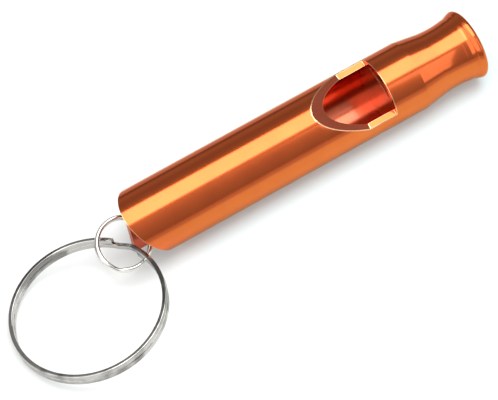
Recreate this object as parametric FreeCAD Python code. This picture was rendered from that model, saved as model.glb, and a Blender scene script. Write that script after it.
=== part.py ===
import FreeCAD, Part
import math
import os

# Survival whistle: an anodised aluminium tube with a flared mouthpiece, a
# fipple block behind its window, a plug with a ring lug in its other end,
# and two linked split rings. Millimetres, Z up, resting on the plane Z = 0.
# The whistle is first drawn straight along X with its window up and the
# mouthpiece end face at X = 0, and is then laid down the way it rests. At the
# end everything moves so that the origin is below the middle of the whole.

# tube
tube_diameter = 12.0
tube_wall = 1.0
tube_length = 66.6
slant_rise = 9.8            # how much shorter the slanted end is behind the window

# mouthpiece, distances from its end face
face_edge_diameter = 10.4
bead_diameter = 11.95
bead_crest = 0.75
bead_fullness = 0.7         # how far the front of the bead bulges out
face_lean = 12.0            # degrees, where the bead leaves the face
bead_back = 1.9             # the step behind the bead
bead_root_diameter = 10.9
collar_back = 3.0           # the narrow collar behind the step ends here
collar_taper = 3.3          # degrees
neck_slope = 7.0            # degrees, where the collar runs out into the waist
waist_diameter = 10.46
waist_at = 5.5
cone_front = 7.6            # the cone runs from here to its crease with the tube
cone_angle = 8.8            # degrees
cone_back = 11.8

# window
window_front = 17.9         # the square face, from the mouthpiece end
floor_length = 5.0
floor_height = 2.6          # above the axis
ramp_angle = 22.8

# fipple block
windway_height = 1.25

# end plug and its lug
plug_length = 5.0
lug_width = 7.5
lug_thickness = 1.0
lug_length = 10.4           # from the plug's disc to the lug's end
lug_set_back = 1.2          # the lug's end, inside the tube's longest point
lug_corner = 0.8
lug_hole_diameter = 4.0
lug_hole_from_end = 3.2
lug_offset = 0.65           # the lug's middle plane, off the axis
lug_turn = 57.6             # the lug's face, degrees from the window

# how the whistle lies
roll = 20.3                 # the window leans this far towards -Y

# both split rings, where the wire steps from one turn to the other
crossing_opening = 0.12     # gap at each wire end, as a share of the crossing
crossing_stations = 6

# small split ring of round wire
small_wire = 0.72
small_outer = 9.3
small_gap = 0.04            # between its two turns
small_crossing = 34.0       # degrees of arc where the wire changes turn
small_crossing_at = 200.0
small_lean = 27.3           # its plane leans down towards -Y
small_tilt = 2.2            # and is raised a little towards the whistle
small_aim = 11.3            # direction, in its own plane, from its middle to the lug
small_hang = 0.73           # its wire hangs this far past the hole's middle
small_drop = 0.17           # its middle plane, below the hole's middle

# key ring, a split ring of flat wire
key_outer = 26.0
key_wire_width = 0.7
key_wire_height = 1.05
key_wire_bevel = 0.14       # its four edges are broken this far
key_gap = 0.04
key_crossing = 17.0
key_crossing_at = 20.0
key_lean = -2.3
key_tilt = 10.5             # raised towards the whistle
key_aim = 31.2              # direction, in its own plane, to the small ring's middle
key_short = 0.20            # its wire passes this far short of that middle
key_drop = 0.18             # its middle plane, below that middle

same_place = 0.001          # points closer than this are one point

X = FreeCAD.Vector(1, 0, 0)
Y = FreeCAD.Vector(0, 1, 0)
Z = FreeCAD.Vector(0, 0, 1)
ORIGIN = FreeCAD.Vector(0, 0, 0)

tube_radius = tube_diameter / 2
bore_radius = tube_radius - tube_wall
mouth_radius = waist_diameter / 2 - tube_wall
small_mean = (small_outer - small_wire) / 2
key_mean = (key_outer - key_wire_width) / 2


def at(x, y, z):
    return FreeCAD.Vector(x, y, z)


def line(start, end):
    return Part.LineSegment(start, end).toShape()


def arc(start, middle, end):
    return Part.Arc(start, middle, end).toShape()


def curve(points, start_direction, end_direction):
    """A smooth curve that leaves and arrives in the given directions."""
    spline = Part.BSplineCurve()
    spline.interpolate(Points=points, InitialTangent=start_direction, FinalTangent=end_direction)
    return spline.toShape()


def slope(degrees):
    return math.tan(math.radians(degrees))


def outer_profile():
    """Half section of the turned outside, from the face back to the ring end."""
    face = at(0, 0, face_edge_diameter / 2)
    crest = at(-bead_crest, 0, bead_diameter / 2)
    bulge = face.z + (crest.z - face.z) * bead_fullness
    rise = at(-bead_crest * (1 - bead_fullness), 0, bulge)
    root = at(-bead_back, 0, bead_root_diameter / 2)
    collar = at(-collar_back, 0, root.z - (collar_back - bead_back) * slope(collar_taper))
    waist = at(-waist_at, 0, waist_diameter / 2)
    shoulder = at(-cone_back, 0, tube_radius)
    cone = at(-cone_front, 0, tube_radius - (cone_back - cone_front) * slope(cone_angle))
    end = at(-tube_length, 0, tube_radius)
    return [curve([face, rise, crest], at(-slope(face_lean), 0, 1), at(-1, 0, 0)),
            line(crest, root),
            line(root, collar),
            curve([collar, waist], at(-1, 0, -slope(neck_slope)), at(-1, 0, 0)),
            curve([waist, cone], at(-1, 0, 0), at(-1, 0, slope(cone_angle))),
            line(cone, shoulder),
            line(shoulder, end)]


def tube_blank():
    """The turned tube, closed nowhere, with its bore running right through."""
    edges = outer_profile()
    face = edges[0].Vertexes[0].Point
    end = at(-tube_length, 0, tube_radius)
    mouth = at(0, 0, mouth_radius)
    bore_end = at(-tube_length, 0, bore_radius)
    edges += [line(end, bore_end)]
    edges += bore_profile(bore_end, mouth)
    edges += [line(mouth, face)]
    section = Part.Face(Part.Wire(Part.__sortEdges__(edges)))
    return section.revolve(ORIGIN, X, 360)


def bore_profile(bore_end, mouth):
    """The bore narrows with the cone outside it, at one wall."""
    shoulder = at(-cone_back, 0, bore_radius)
    neck = at(-cone_front, 0, mouth_radius)
    return [line(bore_end, shoulder), line(shoulder, neck), line(neck, mouth)]


def window_cut():
    """The notch in the tube's top: a square face, a flat floor and a ramp."""
    floor_end = window_front + floor_length
    reach = tube_radius * 1.5
    run = (reach - floor_height) / slope(ramp_angle)
    points = [at(-window_front, -tube_diameter, reach),
              at(-window_front, -tube_diameter, floor_height),
              at(-floor_end, -tube_diameter, floor_height),
              at(-floor_end - run, -tube_diameter, reach)]
    section = Part.Face(Part.makePolygon(points + points[:1]))
    return section.extrude(at(0, 2 * tube_diameter, 0))


def slant_cut():
    """What the slanted cut takes off the ring end; the window side stays long."""
    per_height = slant_rise / tube_diameter
    reach = tube_diameter
    tip = -tube_length
    points = [at(tip - per_height * (reach - tube_radius), -reach, reach),
              at(tip + per_height * (reach + tube_radius), -reach, -reach),
              at(tip - reach, -reach, -reach),
              at(tip - reach, -reach, reach)]
    section = Part.Face(Part.makePolygon(points + points[:1]))
    return section.extrude(at(0, 2 * reach, 0))


def whistle_tube():
    return tube_blank().cut(window_cut()).cut(slant_cut())


def fipple_block():
    """A round block that fills the bore below the windway."""
    length = window_front - cone_back
    block = Part.makeCylinder(bore_radius, length, at(-window_front, 0, 0), X)
    top = bore_radius - windway_height
    above = Part.makeBox(length, tube_diameter, tube_diameter, at(-window_front, -tube_radius, top))
    return block.cut(above)


def end_plug():
    """A disc that stops the bore, with a flat drilled lug for the ring."""
    end_x = lug_set_back - tube_length
    disc = Part.makeCylinder(bore_radius, plug_length, at(end_x + lug_length, 0, 0), X)
    lug = Part.makeBox(lug_length, lug_width, lug_thickness)
    lug.translate(at(end_x, -lug_width / 2, lug_offset - lug_thickness / 2))
    tip_edges = [edge for edge in lug.Edges if runs_at(edge, end_x) and upright(edge)]
    lug = lug.makeFillet(lug_corner, tip_edges)
    hole = Part.makeCylinder(lug_hole_diameter / 2, tube_diameter,
                             at(end_x + lug_hole_from_end, 0, -tube_radius), Z)
    plug = disc.fuse(lug).cut(hole).removeSplitter()
    plug.rotate(ORIGIN, X, lug_turn)
    return plug


def runs_at(edge, x):
    return all(abs(vertex.X - x) < same_place for vertex in edge.Vertexes)


def upright(edge):
    bottom, top = edge.Vertexes
    return math.hypot(bottom.X - top.X, bottom.Y - top.Y) < same_place


def laid_down(shape):
    """Turns a piece of the whistle about its axis and rests it on the ground."""
    placed = shape.copy()
    placed.rotate(ORIGIN, X, roll)
    placed.translate(at(0, 0, tube_radius))
    return placed


def split_ring(section, step, crossing):
    """Two turns of one wire, lying on each other, joined by a short crossing.

    The wire's section stands at the ring's mean radius on the X axis. The
    crossing starts there and runs anticlockwise down to the lower turn.
    """
    opening = crossing * crossing_opening
    upper = placed_section(section, 0, step / 2)
    lower = placed_section(section, crossing, -step / 2)
    turn = 360 - crossing - opening
    top_turn = Part.Face(upper).revolve(ORIGIN, Z, -turn)
    low_turn = Part.Face(lower).revolve(ORIGIN, Z, turn)
    parts = [station / crossing_stations for station in range(crossing_stations + 1)]
    wires = [placed_section(section, crossing * part, step / 2 * math.cos(math.pi * part))
             for part in parts]
    return Part.makeLoft(wires, True).fuse([top_turn, low_turn]).removeSplitter()


def placed_section(section, angle, height):
    wire = section.copy()
    wire.translate(at(0, 0, height))
    wire.rotate(ORIGIN, Z, angle)
    return wire


def small_section():
    circle = Part.Circle(at(small_mean, 0, 0), Y, small_wire / 2)
    return Part.Wire(circle.toBSpline().toShape())


def key_section():
    """A flat wire's section with its edges broken, at the ring's mean radius."""
    half = key_wire_width / 2
    tall = key_wire_height / 2
    flat_half = half - key_wire_bevel
    flat_tall = tall - key_wire_bevel
    points = [at(key_mean + x, 0, z) for x, z in
              [(-flat_half, -tall), (flat_half, -tall), (half, -flat_tall), (half, flat_tall),
               (flat_half, tall), (-flat_half, tall), (-half, flat_tall), (-half, -flat_tall)]]
    return Part.makePolygon(points + points[:1])


def plane_turn(tilt, lean):
    """Tips a level ring: raised towards +X by the tilt, down towards -Y by the lean."""
    normal = at(-slope(tilt), -slope(lean), 1)
    return FreeCAD.Rotation(Z, normal)


def hung_pose(point, turned, aim, reach, drop):
    """Places a ring so that the given point is at its reach in the aimed direction."""
    direction = turned.multVec(FreeCAD.Rotation(Z, aim).multVec(X))
    middle = point - direction * reach - turned.multVec(Z) * drop
    return FreeCAD.Placement(middle, turned)


def hole_middle():
    """The middle of the lug's hole, in the whistle as it lies."""
    hole_x = lug_hole_from_end + lug_set_back - tube_length
    spin = FreeCAD.Rotation(X, roll + lug_turn)
    return at(hole_x, 0, tube_radius) + spin.multVec(at(0, 0, lug_offset))


def small_pose():
    """Where the small ring lies: its wire passes through the lug's hole."""
    turned = plane_turn(small_tilt, small_lean)
    return hung_pose(hole_middle(), turned, small_aim, small_mean + small_hang, small_drop)


def key_pose():
    """Where the key ring lies: its wire passes through the small ring."""
    turned = plane_turn(key_tilt, key_lean)
    return hung_pose(small_pose().Base, turned, key_aim, key_mean + key_short, key_drop)


def small_split_ring():
    ring = split_ring(small_section(), small_wire + small_gap, small_crossing)
    ring.rotate(ORIGIN, Z, small_crossing_at)
    ring.Placement = small_pose().multiply(ring.Placement)
    return ring


def key_ring():
    ring = split_ring(key_section(), key_wire_height + key_gap, key_crossing)
    ring.rotate(ORIGIN, Z, key_crossing_at)
    ring.Placement = key_pose().multiply(ring.Placement)
    return ring


def build():
    pieces = {"whistle_tube": laid_down(whistle_tube()),
              "fipple_block": laid_down(fipple_block()),
              "end_plug": laid_down(end_plug()),
              "small_split_ring": small_split_ring(),
              "key_ring": key_ring()}
    box = Part.makeCompound(list(pieces.values())).optimalBoundingBox()
    for shape in pieces.values():
        shape.translate(at(-box.Center.x, -box.Center.y, -box.ZMin))
    return pieces


def main():
    os.makedirs("parts", exist_ok=True)
    for name, shape in build().items():
        shape.exportStep("parts/" + name + ".step")


main()
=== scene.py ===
import math

import bmesh
import bpy
from mathutils import Matrix, Vector


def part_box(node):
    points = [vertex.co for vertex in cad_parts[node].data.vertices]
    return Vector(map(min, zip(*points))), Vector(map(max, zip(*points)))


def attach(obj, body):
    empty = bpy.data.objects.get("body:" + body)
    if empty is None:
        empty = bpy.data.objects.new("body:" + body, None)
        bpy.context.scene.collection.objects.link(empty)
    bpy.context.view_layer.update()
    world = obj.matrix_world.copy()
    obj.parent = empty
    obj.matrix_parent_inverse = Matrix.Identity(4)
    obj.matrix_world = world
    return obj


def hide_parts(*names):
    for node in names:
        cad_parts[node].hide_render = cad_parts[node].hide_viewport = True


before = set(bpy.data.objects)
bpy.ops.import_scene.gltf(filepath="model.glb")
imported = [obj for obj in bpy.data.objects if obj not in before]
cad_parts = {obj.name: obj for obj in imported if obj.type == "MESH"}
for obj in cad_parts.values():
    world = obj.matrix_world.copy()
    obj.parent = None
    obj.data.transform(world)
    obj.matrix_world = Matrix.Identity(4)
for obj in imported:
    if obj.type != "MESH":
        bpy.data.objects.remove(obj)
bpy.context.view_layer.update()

# The whistle's tube is one length of 12 mm aluminium tube. It is turned down
# to a waist and a rolled lip at the mouth, milled for the window, sawn off on
# the slant at the tail, then polished and anodised orange.
MM = 0.001
roll = math.radians(20.3)
tube_radius = 6.0 * MM
bore_radius = 5.0 * MM
tube_length = 66.6 * MM
tube_steps = 180
head_length = 15 * MM
lip_depth = 0.3 * MM
edge_rounding = 0.18 * MM
# Rubbed edges show pale metal, which also serves as a painted rim highlight.
edge_wear_and_highlight = 1.0
sliver = 0.095 * MM
same_point = 0.0001 * MM
same_plane = 0.002 * MM
margin = 0.001 * MM
least_step = 0.01 * MM
crease_angle = math.radians(35)

tube_low, tube_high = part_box("whistle_tube")
mouth = Vector((tube_high.x, (tube_low.y + tube_high.y) / 2, (tube_low.z + tube_high.z) / 2))
lying = Matrix.Translation(mouth) @ Matrix.Rotation(roll, 4, "X")


def rounded(centre, radius, start, end, steps):
    """A round stretch about a centre, from one angle to another in degrees."""
    angles = [math.radians(start + (end - start) * k / steps) for k in range(steps + 1)]
    return [(centre[0] - radius * math.cos(a), centre[1] + radius * math.sin(a)) for a in angles]


# Stretches of the wall's half section: mm back from the mouth, mm of radius.
window_stations = (17.9, 22.9, 31.0)
lip = [(0.0, 5.15), *rounded(centre=(0.72, 5.28), radius=0.69, start=5, end=120, steps=12),
       (1.3, 5.79), (1.5, 5.7)]
groove = [(1.54, 5.65), (1.6, 5.65), (1.64, 5.68)]
neck = [(1.8, 5.61), (2.05, 5.51), (2.35, 5.445), (2.7, 5.41), (2.96, 5.395)]
waist = [(3.04, 5.375), (3.3, 5.338), (3.6, 5.307), (4.0, 5.274), (4.5, 5.246), (5.0, 5.232),
         (5.5, 5.23), (5.9, 5.236), (6.3, 5.251), (6.7, 5.275), (7.1, 5.308), (7.6, 5.352)]
cone = [(11.7, 5.985), (11.9, 6.0)]
plain_wall = [(back, 6.0) for back in (*window_stations, 40.0, 50.0, 60.0, 72.0)]
chamber = [(back, 5.0) for back in (72.0, 60.0, 50.0, *reversed(window_stations), 11.8)]
mouth_bore = [(7.6, 4.23), (0.6, 4.23), (0.25, 4.38), (0.0, 4.72)]

window_front, ledge_end, ramp_end = (station * MM for station in window_stations)
ledge_height = 2.6 * MM
ramp_angle = math.radians(22.8)
saw_cut_normal = Vector((-12.0, 0, -9.8))


def section_points(*stretches):
    """Joins stretches of a half section, leaving out points that nearly coincide."""
    points = []
    for back, radius in (place for stretch in stretches for place in stretch):
        point = Vector((-back * MM, 0, radius * MM))
        if not points or (point - points[-1]).length > least_step:
            points.append(point)
    return points


def spun(points, steps):
    """Turns a closed section about the whistle's axis."""
    bm = bmesh.new()
    verts = [bm.verts.new(point) for point in points]
    edges = [bm.edges.new(pair) for pair in zip(verts, verts[1:] + verts[:1])]
    bmesh.ops.spin(bm, geom=verts + edges, cent=(0, 0, 0), axis=(1, 0, 0), angle=2 * math.pi,
                   steps=steps, use_merge=True)
    bmesh.ops.remove_doubles(bm, verts=bm.verts, dist=same_point)
    bmesh.ops.recalc_face_normals(bm, faces=bm.faces)
    return bm


def split_along(bm, faces, point, normal, keep_all=True):
    """Cuts the given faces where they meet a plane; what lies beyond may be dropped."""
    # Kept in order, so that every run gives the same shape.
    edges = dict.fromkeys(edge for face in faces for edge in face.edges)
    verts = dict.fromkeys(vert for face in faces for vert in face.verts)
    bmesh.ops.bisect_plane(bm, geom=[*verts, *edges, *faces], dist=same_point, plane_co=point,
                           plane_no=normal, clear_outer=not keep_all)


def open_edges(bm, point, normal):
    """The open edges that lie in a plane."""
    upright = normal.normalized()
    return [edge for edge in bm.edges if len(edge.link_faces) < 2
            and all(abs((vert.co - point).dot(upright)) < same_plane for vert in edge.verts)]


def mill_window(bm):
    """Cuts the notch with its square face, level ledge and ramp, and closes the wall's edges."""
    ledge = Vector((-ledge_end, 0, ledge_height))
    cuts = [(Vector((-window_front, 0, 0)), Vector((-1, 0, 0))),
            (ledge, Vector((0, 0, 1))),
            (ledge, Vector((math.sin(ramp_angle), 0, math.cos(ramp_angle))))]
    for point, normal in cuts[1:]:
        reached = [face for face in bm.faces if face.calc_center_median().z > 0
                   and -ramp_end < face.calc_center_median().x < -window_front]
        split_along(bm, reached, point, normal)
    milled = [face for face in bm.faces
              if all((face.calc_center_median() - point).dot(normal) > margin
                     for point, normal in cuts)]
    bmesh.ops.delete(bm, geom=milled, context="FACES")
    for x in (-window_front, -ledge_end):
        for side in (-1, 1):
            corner = sorted((vert for vert in bm.verts if vert.is_boundary
                             and vert.co.y * side > 0 and abs(vert.co.x - x) < same_plane
                             and abs(vert.co.z - ledge_height) < same_plane),
                            key=lambda vert: abs(vert.co.y))
            bm.edges.new((corner[0], corner[-1]))
    for point, normal in cuts:
        bmesh.ops.edgenet_fill(bm, edges=open_edges(bm, point, normal))


def saw_tail(bm):
    """Saws the tail off on the slant and closes the wall's end."""
    tip = Vector((-tube_length, 0, tube_radius))
    split_along(bm, bm.faces[:], tip, saw_cut_normal, keep_all=False)
    bmesh.ops.bridge_loops(bm, edges=open_edges(bm, tip, saw_cut_normal))


def anywhere(vert):
    """Leaves no point out."""
    return True


def behind_head(vert):
    """Says whether a point lies behind the turned head, where the tube is cut."""
    return vert.co.x < -head_length


def merge_slivers(bm, chosen):
    """Merges chosen points that nearly touch, taken in order of place, so each run is the same."""
    verts = sorted(filter(chosen, bm.verts),
                   key=lambda vert: [round(part / same_point) for part in vert.co])
    bmesh.ops.remove_doubles(bm, verts=verts, dist=sliver)


def soften(bm, width, sharper_than, chosen=anywhere):
    """Breaks the chosen sharp edges and marks the new faces as worn rims, which also carry a
    painted highlight.
    """
    rim = bm.faces.layers.float.get("rim") or bm.faces.layers.float.new("rim")
    limit = math.radians(sharper_than)
    sharp = [edge for edge in bm.edges if len(edge.link_faces) == 2
             and edge.calc_face_angle(0) > limit
             and all(chosen(vert) for vert in edge.verts)]
    broken = bmesh.ops.bevel(bm, geom=sharp, offset=width, offset_type="OFFSET", affect="EDGES",
                             segments=3, profile=0.5, material=-1, clamp_overlap=True)
    for face in broken["faces"]:
        face[rim] = edge_wear_and_highlight


def finished(bm, name, place, material, body, node):
    """Makes a piece of a bmesh, in its place, riding on its body in the node's stead."""
    bmesh.ops.transform(bm, matrix=place, verts=bm.verts)
    bmesh.ops.recalc_face_normals(bm, faces=bm.faces)
    mesh = bpy.data.meshes.new(name)
    bm.to_mesh(mesh)
    bm.free()
    for polygon in mesh.polygons:
        polygon.use_smooth = True
    mesh.set_sharp_from_angle(angle=crease_angle)
    mesh.materials.append(material)
    piece = bpy.data.objects.new(name, mesh)
    bpy.context.scene.collection.objects.link(piece)
    shading = piece.modifiers.new("even shading", "WEIGHTED_NORMAL")
    shading.keep_sharp = True
    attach(piece, body)
    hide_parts(node)
    return piece


def feed(tree, node, feeds):
    """Gives each named input a plain value, or links it to another node's output."""
    for socket, value in feeds.items():
        if isinstance(value, bpy.types.NodeSocket):
            tree.links.new(value, node.inputs[socket])
        else:
            node.inputs[socket].default_value = value


def add_node(tree, kind, feeds, **settings):
    """Adds a shader node with its settings and feeds its inputs."""
    node = tree.nodes.new("ShaderNode" + kind)
    for setting, value in settings.items():
        setattr(node, setting, value)
    feed(tree, node, feeds)
    return node


def shared_effect(name, inputs, outputs):
    """Starts a node group for several finishes; returns it, its start and its end."""
    group = bpy.data.node_groups.new(name, "ShaderNodeTree")
    for way, sockets in (("INPUT", inputs), ("OUTPUT", outputs)):
        for socket, kind in sockets.items():
            group.interface.new_socket(socket, in_out=way, socket_type="NodeSocket" + kind)
    return group, group.nodes.new("NodeGroupInput"), group.nodes.new("NodeGroupOutput")


def turned_marks():
    """Faint rings left by turning: they change the polish and the normal along the tube."""
    group, start, end = shared_effect(
        "lathe marks",
        {"Vector": "Vector", "Pitch": "Float", "Smoothest": "Float", "Roughest": "Float"},
        {"Roughness": "Float", "Normal": "Vector"})
    along = add_node(group, "VectorMath", {0: start.outputs["Vector"], 1: (1.0, 0.02, 0.02)},
                     operation="MULTIPLY")
    marks = add_node(group, "TexNoise", {"Vector": along.outputs[0], "Detail": 3.0,
                                         "Scale": start.outputs["Pitch"]})
    polish = add_node(group, "MapRange", {"Value": marks.outputs["Fac"],
                                          "To Min": start.outputs["Smoothest"],
                                          "To Max": start.outputs["Roughest"]})
    bump = add_node(group, "Bump", {"Height": marks.outputs["Fac"], "Strength": 0.05,
                                    "Distance": 0.02 * MM})
    feed(group, end, {"Roughness": polish.outputs["Result"], "Normal": bump.outputs["Normal"]})
    return group


def uneven_dye():
    """Dye that takes a little unevenly: its colour, and the cloud that it follows."""
    group, start, end = shared_effect(
        "uneven dye", {"Vector": "Vector", "Dark": "Color", "Light": "Color"},
        {"Color": "Color", "Cloud": "Float"})
    cloud = add_node(group, "TexNoise", {"Vector": start.outputs["Vector"], "Scale": 220.0,
                                         "Detail": 4.0})
    depth = add_node(group, "MapRange", {"Value": cloud.outputs["Fac"], "From Min": 0.3,
                                         "From Max": 0.7})
    dye = add_node(group, "Mix", {"Factor": depth.outputs["Result"], "A": start.outputs["Dark"],
                                  "B": start.outputs["Light"]}, data_type="RGBA")
    feed(group, end, {"Color": dye.outputs["Result"], "Cloud": cloud.outputs["Fac"]})
    return group


def bared_metal_and_highlight():
    """Broken edges where the dye has rubbed off in places and the metal shows, in a pale colour
    that also paints a highlight along the rims.
    """
    group, start, end = shared_effect(
        "edge wear and rim highlight", {"Color": "Color", "Bare Metal And Highlight": "Color", "Cloud": "Float"},
        {"Color": "Color"})
    rim = add_node(group, "Attribute", {}, attribute_name="rim")
    worn_and_highlit = add_node(group, "Math", {0: rim.outputs["Fac"], 1: start.outputs["Cloud"]},
                    operation="MULTIPLY", use_clamp=True)
    bared_and_highlit = add_node(group, "Mix", {"Factor": worn_and_highlit.outputs[0], "A": start.outputs["Color"],
                                    "B": start.outputs["Bare Metal And Highlight"]}, data_type="RGBA")
    feed(group, end, {"Color": bared_and_highlit.outputs["Result"]})
    return group


lathe_marks = turned_marks()
dye_clouds = uneven_dye()
worn_and_highlit_edges = bared_metal_and_highlight()


def anodised(name, dark, light, roughness):
    """Dyed, sealed aluminium: a coloured metal under a thin clear skin."""
    material = bpy.data.materials.new(name)
    material.use_nodes = True
    tree = material.node_tree
    place = add_node(tree, "TexCoord", {}).outputs["Object"]
    marks = add_node(tree, "Group", {}, node_tree=lathe_marks)
    feed(tree, marks, {"Vector": place, "Pitch": 9000.0, "Smoothest": roughness * 0.8,
                       "Roughest": roughness * 1.25})
    dye = add_node(tree, "Group", {}, node_tree=dye_clouds)
    feed(tree, dye, {"Vector": place, "Dark": (*dark, 1), "Light": (*light, 1)})
    # The pale edge colour is partly rubbed-off metal and partly a painted highlight along the
    # rims.
    worn_and_highlit = add_node(tree, "Group", {}, node_tree=worn_and_highlit_edges)
    feed(tree, worn_and_highlit, {"Color": dye.outputs["Color"], "Cloud": dye.outputs["Cloud"],
                      "Bare Metal And Highlight": (0.96, 0.74, 0.46, 1)})
    feed(tree, tree.nodes["Principled BSDF"],
         {"Metallic": 1.0, "Specular Tint": (1.0, 0.5, 0.25, 1),
          "Coat Weight": 0.6, "Coat Roughness": 0.06, "Coat IOR": 1.5,
          "Base Color": worn_and_highlit.outputs["Color"], "Roughness": marks.outputs["Roughness"],
          "Normal": marks.outputs["Normal"]})
    return material


# The bore's finish is a darker, redder copy of the orange anodising, which paints the shade and
# the red inner reflections of the bore.
shaded_bore_anodising = anodised("bore anodising painted darker", (0.54, 0.104, 0.042), (0.60, 0.118, 0.048), 0.22)
orange_anodising = anodised("orange anodising", (0.74, 0.122, 0.018), (0.80, 0.137, 0.022), 0.16)

outside = section_points(lip, groove, neck, waist, cone, plain_wall)
inside = section_points(chamber, mouth_bore)
tube = spun(outside + inside, tube_steps)
saw_tail(tube)
mill_window(tube)
merge_slivers(tube, behind_head)
soften(tube, edge_rounding, sharper_than=20, chosen=behind_head)
# Faces inside the bore take that darker copy, as painted shade.
for face in tube.faces:
    middle = face.calc_center_median()
    in_bore = math.hypot(middle.y, middle.z) < bore_radius + margin and middle.x < -lip_depth
    face.material_index = 1 if in_bore else 0
body = finished(tube, "tube", lying, orange_anodising, "whistle", "whistle_tube")
body.data.materials.append(shaded_bore_anodising)

# The fipple block is a short round bar with a flat milled along its top. It is
# pressed into the bore between mouth and window, and the flat leaves the windway.
block_length = 6.1 * MM
windway = 1.25 * MM
flat_height = bore_radius - windway


def add_round_bar(bm, middle, length, sides):
    """Adds a round bar that fills the bore, with its middle at a place along the tube."""
    bmesh.ops.create_cone(bm, cap_ends=True, segments=sides, radius1=bore_radius,
                          radius2=bore_radius, depth=length,
                          matrix=Matrix.Translation((middle, 0, 0))
                          @ Matrix.Rotation(math.pi / 2, 4, "Y"))


def by_flat(vert):
    """Says whether a point lies on the block's flat or just below it."""
    return vert.co.z > flat_height - 0.25 * MM


block = bmesh.new()
add_round_bar(block, -window_front + block_length / 2, block_length, tube_steps)
split_along(block, block.faces[:], Vector((0, 0, flat_height)), Vector((0, 0, 1)),
            keep_all=False)
bmesh.ops.holes_fill(block, edges=[edge for edge in block.edges if edge.is_boundary], sides=0)
soften(block, edge_rounding, sharper_than=80, chosen=by_flat)
satin_anodising = anodised("satin anodising", (0.55, 0.115, 0.040), (0.62, 0.14, 0.05), 0.42)
finished(block, "fipple", lying, satin_anodising, "whistle", "fipple_block")

# The tail plug is a turned disc that stops the bore. Its lug is milled flat,
# rounded at the corners and drilled for the ring, and shows in the slanted end.
lug_turn = math.radians(57.6)
lug_end = -65.4 * MM
lug_length = 10.4 * MM
lug_width = 7.5 * MM
lug_thickness = 1.0 * MM
lug_offset = 0.65 * MM
lug_corner = 0.8 * MM
lug_sunk = 0.4 * MM
lug_edge = 0.08 * MM
hole_radius = 2.0 * MM
hole_x = lug_end + 3.2 * MM
plug_length = 5.0 * MM
plug_sides = 96
plug_place = lying @ Matrix.Rotation(lug_turn, 4, "X")


def drilled_lug():
    """A flat tongue with two rounded corners and a round hole, which sinks into its disc."""
    bm = bmesh.new()
    half = lug_width / 2
    root = lug_end + lug_length + lug_sunk
    low = lug_offset - lug_thickness / 2
    outline = [bm.verts.new((x, y, low)) for x, y in
               ((root, -half), (lug_end, -half), (lug_end, half), (root, half))]
    bm.faces.new(outline)
    bmesh.ops.bevel(bm, geom=outline[1:3], offset=lug_corner, offset_type="OFFSET",
                    affect="VERTICES", segments=6, profile=0.5, material=-1)
    bmesh.ops.delete(bm, geom=bm.faces[:], context="FACES_ONLY")
    bmesh.ops.create_circle(bm, cap_ends=False, segments=48, radius=hole_radius,
                            matrix=Matrix.Translation((hole_x, 0, low)))
    bmesh.ops.triangle_fill(bm, edges=bm.edges[:], use_beauty=True)
    lift = bmesh.ops.extrude_face_region(bm, geom=bm.faces[:])
    risen = [item for item in lift["geom"] if isinstance(item, bmesh.types.BMVert)]
    bmesh.ops.translate(bm, verts=risen, vec=(0, 0, lug_thickness))
    bmesh.ops.recalc_face_normals(bm, faces=bm.faces)
    return bm


plug = drilled_lug()
soften(plug, lug_edge, sharper_than=60)
add_round_bar(plug, lug_end + lug_length + plug_length / 2, plug_length, plug_sides)
# The plug takes a darker, redder copy of the anodising, which paints the shade and the shadowed
# reflections that fall on its lug.
shaded_lug_anodising = anodised("lug anodising painted darker", (0.40, 0.044, 0.018), (0.48, 0.058, 0.024), 0.22)
finished(plug, "tail_plug", plug_place, shaded_lug_anodising, "whistle", "end_plug")

# The small split ring is two turns of hard round wire, plated bright. It hangs
# in the lug's hole, and its wire steps from one turn to the other at one place.
small_wire = 0.72 * MM
small_mean = (9.3 * MM - small_wire) / 2
small_wire_sides = 20
small_tilt, small_lean, small_aim = 2.2, 27.3, 11.3
small_reach = small_mean + 0.73 * MM
small_drop = 0.17 * MM
small_crossing = 34
small_steps = 120
small_turned = math.radians(200)
turns_apart = 0.04 * MM
opening_share = 0.12


def ring_place(point, tilt, lean, aim, reach, drop):
    """A ring's place: its plane is tipped, and a given point is at its reach."""
    normal = Vector((-math.tan(math.radians(tilt)), -math.tan(math.radians(lean)), 1))
    turned = Vector((0, 0, 1)).rotation_difference(normal).to_matrix()
    direction = turned @ Matrix.Rotation(math.radians(aim), 3, "Z") @ Vector((1, 0, 0))
    middle = point - direction * reach - turned @ Vector((0, 0, drop))
    return Matrix.Translation(middle) @ turned.to_4x4()


def coiled(section, step, crossing, steps, crossing_steps=12):
    """Winds a wire's section into two turns that touch, joined by a short crossing."""
    opening = crossing * opening_share
    turn = 360 - crossing - opening
    bm = bmesh.new()
    end = bm.faces.new([bm.verts.new(point + Vector((0, 0, step / 2))) for point in section])
    bmesh.ops.rotate(bm, verts=bm.verts, cent=(0, 0, 0),
                     matrix=Matrix.Rotation(math.radians(-turn), 3, "Z"))
    heights = [step / 2 * math.cos(math.pi * k / crossing_steps)
               for k in range(crossing_steps + 1)]
    short_turns = [(crossing / crossing_steps, 1, lower - upper)
                   for upper, lower in zip(heights, heights[1:])]
    geometry = [end]
    for angle, parts, fall in [(turn, steps, 0), *short_turns, (turn, steps, 0)]:
        geometry = bmesh.ops.spin(bm, geom=geometry, cent=(0, 0, 0), axis=(0, 0, 1),
                                  angle=math.radians(angle), steps=parts, dvec=(0, 0, fall),
                                  use_merge=False)["geom_last"]
    bmesh.ops.remove_doubles(bm, verts=bm.verts, dist=same_point)
    bmesh.ops.recalc_face_normals(bm, faces=bm.faces)
    return bm


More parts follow.
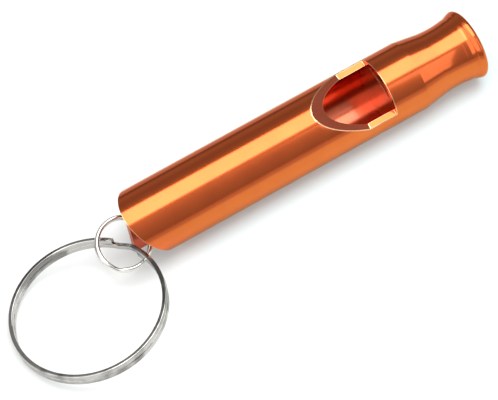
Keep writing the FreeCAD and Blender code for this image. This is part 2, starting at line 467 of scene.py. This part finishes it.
def dulled_and_streaked_plating():
    """Plating that has dulled in patches, which also paint dark reflection streaks, and carries
    hairline scratches.
    """
    group, start, end = shared_effect(
        "plating marks and painted reflection streaks",
        {"Vector": "Vector", "Bright": "Color", "Dull And Dark Streak": "Color", "Smoothest": "Float",
         "Roughest": "Float"},
        {"Color": "Color", "Roughness": "Float"})
    patches = add_node(group, "TexNoise", {"Vector": start.outputs["Vector"], "Scale": 160.0,
                                           "Detail": 3.0})
    cleaner_and_brighter = add_node(group, "MapRange", {"Value": patches.outputs["Fac"], "From Min": 0.42,
                                           "From Max": 0.53})
    # The patch tone is partly dulled plating and partly painted dark reflection streaks.
    tone = add_node(group, "Mix", {"Factor": cleaner_and_brighter.outputs["Result"],
                                   "A": start.outputs["Dull And Dark Streak"], "B": start.outputs["Bright"]},
                    data_type="RGBA")
    scratches = add_node(group, "TexNoise", {"Vector": start.outputs["Vector"],
                                             "Scale": 1500.0, "Detail": 5.0,
                                             "Distortion": 1.5})
    polish = add_node(group, "MapRange", {"Value": scratches.outputs["Fac"],
                                          "To Min": start.outputs["Smoothest"],
                                          "To Max": start.outputs["Roughest"]})
    feed(group, end, {"Color": tone.outputs["Result"], "Roughness": polish.outputs["Result"]})
    return group


plating_marks_and_streaks = dulled_and_streaked_plating()


def plated(name, tint, roughness, dullest_and_darkest):
    """Bright plated wire, duller and darker in patches down to a share of its tint; the patches
    are partly dulled plating and partly painted reflection streaks.
    """
    material = bpy.data.materials.new(name)
    material.use_nodes = True
    tree = material.node_tree
    place = add_node(tree, "TexCoord", {}).outputs["Object"]
    marks = add_node(tree, "Group", {}, node_tree=plating_marks_and_streaks)
    feed(tree, marks, {"Vector": place, "Bright": (*tint, 1),
                       "Dull And Dark Streak": (*[part * dullest_and_darkest for part in tint], 1),
                       "Smoothest": roughness * 0.5, "Roughest": roughness * 1.6})
    feed(tree, tree.nodes["Principled BSDF"],
         {"Metallic": 1.0, "Base Color": marks.outputs["Color"],
          "Roughness": marks.outputs["Roughness"]})
    return material


wire_plating = plated("wire plating", (0.80, 0.79, 0.76), 0.09, 0.75)
wire_angles = [2 * math.pi * k / small_wire_sides for k in range(small_wire_sides)]
small_section = [Vector((small_mean + small_wire / 2 * math.cos(angle), 0,
                         small_wire / 2 * math.sin(angle))) for angle in wire_angles]
small_place = ring_place(plug_place @ Vector((hole_x, 0, lug_offset)), small_tilt, small_lean,
                         small_aim, small_reach, small_drop)
small_ring = coiled(small_section, small_wire + turns_apart, small_crossing, small_steps)
finished(small_ring, "small_ring", small_place @ Matrix.Rotation(small_turned, 4, "Z"),
         wire_plating, "small_ring", "small_split_ring")

# The key ring is two turns of flat spring wire, wound with its narrow side
# up, its edges rounded, plated bright. It passes through the small ring, and
# keys slide on past its step.
flat_width = 0.7 * MM
flat_depth = 1.05 * MM
flat_rounding = 0.17 * MM
key_mean = (26.0 * MM - flat_width) / 2
key_tilt, key_lean, key_aim = 10.5, -2.3, 31.2
key_reach = key_mean + 0.20 * MM
key_drop = 0.18 * MM
key_crossing = 17
key_steps = 200
key_turned = math.radians(20)


def flat_wire_section():
    """A rectangle with rounded corners, standing at the ring's mean radius."""
    bm = bmesh.new()
    wide, tall = flat_width / 2, flat_depth / 2
    verts = [bm.verts.new((key_mean + x, 0, z)) for x, z in
             ((-wide, -tall), (wide, -tall), (wide, tall), (-wide, tall))]
    bm.faces.new(verts)
    bmesh.ops.bevel(bm, geom=verts, offset=flat_rounding, offset_type="OFFSET",
                    affect="VERTICES", segments=5, profile=0.5, material=-1)
    bm.faces.ensure_lookup_table()
    points = [vert.co.copy() for vert in bm.faces[0].verts]
    bm.free()
    return points


key_plating = plated("key ring plating", (0.54, 0.52, 0.50), 0.07, 0.42)
key_place = ring_place(small_place.translation, key_tilt, key_lean, key_aim, key_reach, key_drop)
key_ring = coiled(flat_wire_section(), flat_depth + turns_apart, key_crossing, key_steps)
finished(key_ring, "large_ring", key_place @ Matrix.Rotation(key_turned, 4, "Z"),
         key_plating, "large_ring", "key_ring")

# The camera stands off beyond the tail and looks down on the whistle through a
# long lens. One point of the tube's axis is set at its pixel of the picture.
picture_size = Vector((498, 400))
pixels_per_metre = 6217.0
seen_point = lying @ Vector((-31.9 * MM, 0, 0))
seen_at = Vector((304.5, 133.3))
lens = 400.0
sensor = 36.0
back = Vector((-0.2689, -0.545, 0.794)).normalized()
right = Vector((0.843, -0.5318, -0.0795))
right = (right - right.dot(back) * back).normalized()
up = back.cross(right)
distance = picture_size.x / pixels_per_metre * lens / sensor
offset = picture_size / 2 - seen_at
target = seen_point + (right * offset.x - up * offset.y) / pixels_per_metre
camera_data = bpy.data.cameras.new("camera")
camera_data.lens = lens
camera_data.sensor_width = sensor
camera_data.clip_start = 0.01
camera = bpy.data.objects.new("camera", camera_data)
camera.matrix_world = (Matrix.Translation(target + back * distance)
                       @ Matrix((right, up, back)).transposed().to_4x4())
bpy.context.scene.collection.objects.link(camera)
bpy.context.scene.camera = camera

# The table is a plain white board. Its white is lifted a little for the camera,
# is painted a cooler white close to the tube to cancel the tube's orange bounce
# light, and carries painted reflections: where the metal mirrors it, it is
# painted greener close to the tube and darker further off.
table_size = 1.2
table_gap = 0.1 * MM
near_to, far_from = 18 * MM, 42 * MM
outer_side, tube_side = -22 * MM, -6 * MM
camera_lift = 0.12
# A cooler white by the tube cancels its bounce light; the two mirrored colours are painted
# reflections.
table_white = (0.76, 0.78, 0.77, 1)
bounce_cancelling_white = (0.64, 0.765, 0.78, 1)
painted_reflection_by_tube = (0.59, 0.79, 0.58, 1)
painted_dark_reflection = (0.40, 0.40, 0.40, 1)
board = bmesh.new()
bmesh.ops.create_grid(board, x_segments=1, y_segments=1, size=table_size / 2)
table_mesh = bpy.data.meshes.new("floor")
board.to_mesh(table_mesh)
board.free()
table = bpy.data.objects.new("floor", table_mesh)
table.location.z = -table_gap
bpy.context.scene.collection.objects.link(table)
table_paint = bpy.data.materials.new("white table with painted reflections")
table_paint.use_nodes = True
paint = table_paint.node_tree
rays = add_node(paint, "LightPath", {})
spot = add_node(paint, "SeparateXYZ",
                {0: add_node(paint, "TexCoord", {}).outputs["Object"]})
sideways = add_node(paint, "Math", {0: spot.outputs["Y"]}, operation="ABSOLUTE")
far_off = add_node(paint, "MapRange", {"Value": sideways.outputs[0], "From Min": near_to,
                                       "From Max": far_from}, interpolation_type="SMOOTHSTEP")
beside_tube = add_node(paint, "MapRange",
                       {"Value": spot.outputs["X"], "From Min": outer_side,
                        "From Max": tube_side}, interpolation_type="SMOOTHSTEP")
close = add_node(paint, "Math", {0: 1.0, 1: far_off.outputs["Result"]}, operation="SUBTRACT")
near = add_node(paint, "Math", {0: beside_tube.outputs["Result"], 1: close.outputs[0]},
                operation="MULTIPLY")
near_mirrored = add_node(paint, "Math", {0: near.outputs[0], 1: rays.outputs["Is Glossy Ray"]},
                         operation="MULTIPLY")
far_mirrored = add_node(paint, "Math", {0: far_off.outputs["Result"],
                                        1: rays.outputs["Is Glossy Ray"]}, operation="MULTIPLY")
lifted = add_node(paint, "Math", {0: rays.outputs["Is Camera Ray"], 1: camera_lift},
                  operation="MULTIPLY")
# Painted light: the cooler white by the tube, then the greener and the darker painted reflections
# that only the metal sees.
white = add_node(paint, "Mix", {"Factor": near.outputs[0], "A": table_white,
                                "B": bounce_cancelling_white}, data_type="RGBA")
greener = add_node(paint, "Mix", {"Factor": near_mirrored.outputs[0],
                                  "A": white.outputs["Result"], "B": painted_reflection_by_tube},
                   data_type="RGBA")
darker = add_node(paint, "Mix", {"Factor": far_mirrored.outputs[0],
                                 "A": greener.outputs["Result"], "B": painted_dark_reflection},
                  data_type="RGBA")
feed(paint, paint.nodes["Principled BSDF"],
     {"Base Color": darker.outputs["Result"], "Roughness": 0.7, "Specular IOR Level": 0.2,
      "Emission Color": (1, 1, 1, 1), "Emission Strength": lifted.outputs[0]})
table_mesh.materials.append(table_paint)

# One soft box hangs level over the table, a little to the side of the mouth.
# It lays the long pale band along the tube and the soft shadows under it.


def soft_light(name, width, height, radiance, place, turn=(0, 0, 0)):
    """Hangs a glowing rectangle that looks as bright as its radiance."""
    light_data = bpy.data.lights.new(name, "AREA")
    light_data.shape = "RECTANGLE"
    light_data.size = width
    light_data.size_y = height
    light_data.energy = radiance * math.pi * width * height
    light = bpy.data.objects.new(name, light_data)
    light.location = place
    light.rotation_euler = turn
    bpy.context.scene.collection.objects.link(light)


soft_light("softbox", width=0.5, height=0.34, radiance=3.4, place=(0.117, 0.006, 0.42))

# A pale card stands upright on the camera's side, beyond the mouth. It
# brightens the head's side and the square face of the window.
soft_light("card", width=0.27, height=0.37, radiance=0.95, place=(0.282, -0.25, 0.235),
           turn=(math.pi / 2, 0, 0))

# The room beyond is dim and grey, lightest high up on the camera's side, and
# daylight comes in from beyond the tail. The levels run from the horizon on the
# camera's side, over the top, to the horizon on the far side.
wall_levels = ((0.03, 0.36), (0.10, 0.42), (0.20, 0.50), (0.36, 0.70), (0.62, 0.34),
               (0.78, 0.26), (0.90, 0.38), (1.0, 0.12))
window_levels = ((0.07, 0), (0.10, 1), (0.60, 1), (0.70, 0))
daylight_level = 1.7


def grey_ramp(tree, share, levels):
    """A ramp of greys that follows a share, from pairs of a position and a level."""
    ramp = add_node(tree, "ValToRGB", {"Fac": share})
    stops = ramp.color_ramp.elements
    stops.remove(stops[1])
    stops[0].position = levels[0][0]
    for position, _ in levels[1:]:
        stops.new(position)
    for stop, (_, level) in zip(stops, levels):
        stop.color = (level, level, level, 1)
    return ramp


world = bpy.data.worlds.new("room")
bpy.context.scene.world = world
world.use_nodes = True
room = world.node_tree
looking = add_node(room, "SeparateXYZ",
                   {0: add_node(room, "TexCoord", {}).outputs["Generated"]})
camera_side = add_node(room, "Math", {0: looking.outputs["Y"], 1: -1.0}, operation="MULTIPLY")
climb = add_node(room, "Math", {0: looking.outputs["Z"], 1: camera_side.outputs[0]},
                 operation="ARCTAN2")
share = add_node(room, "Math", {0: climb.outputs[0], 1: math.pi}, operation="DIVIDE")
walls = grey_ramp(room, share.outputs[0], wall_levels)
window_rise = grey_ramp(room, share.outputs[0], window_levels)
beyond_tail = add_node(room, "MapRange", {"Value": looking.outputs["X"], "From Min": -0.03,
                                          "From Max": -0.12}, interpolation_type="SMOOTHSTEP")
window_share = add_node(room, "Math", {0: beyond_tail.outputs["Result"],
                                       1: window_rise.outputs["Color"]}, operation="MULTIPLY")
daylight = add_node(room, "Mix", {"Factor": window_share.outputs[0],
                                  "A": walls.outputs["Color"],
                                  "B": (daylight_level, daylight_level, daylight_level, 1)},
                    data_type="RGBA")
feed(room, room.nodes["Background"], {"Color": daylight.outputs["Result"]})
bpy.context.scene.view_settings.view_transform = "Standard"
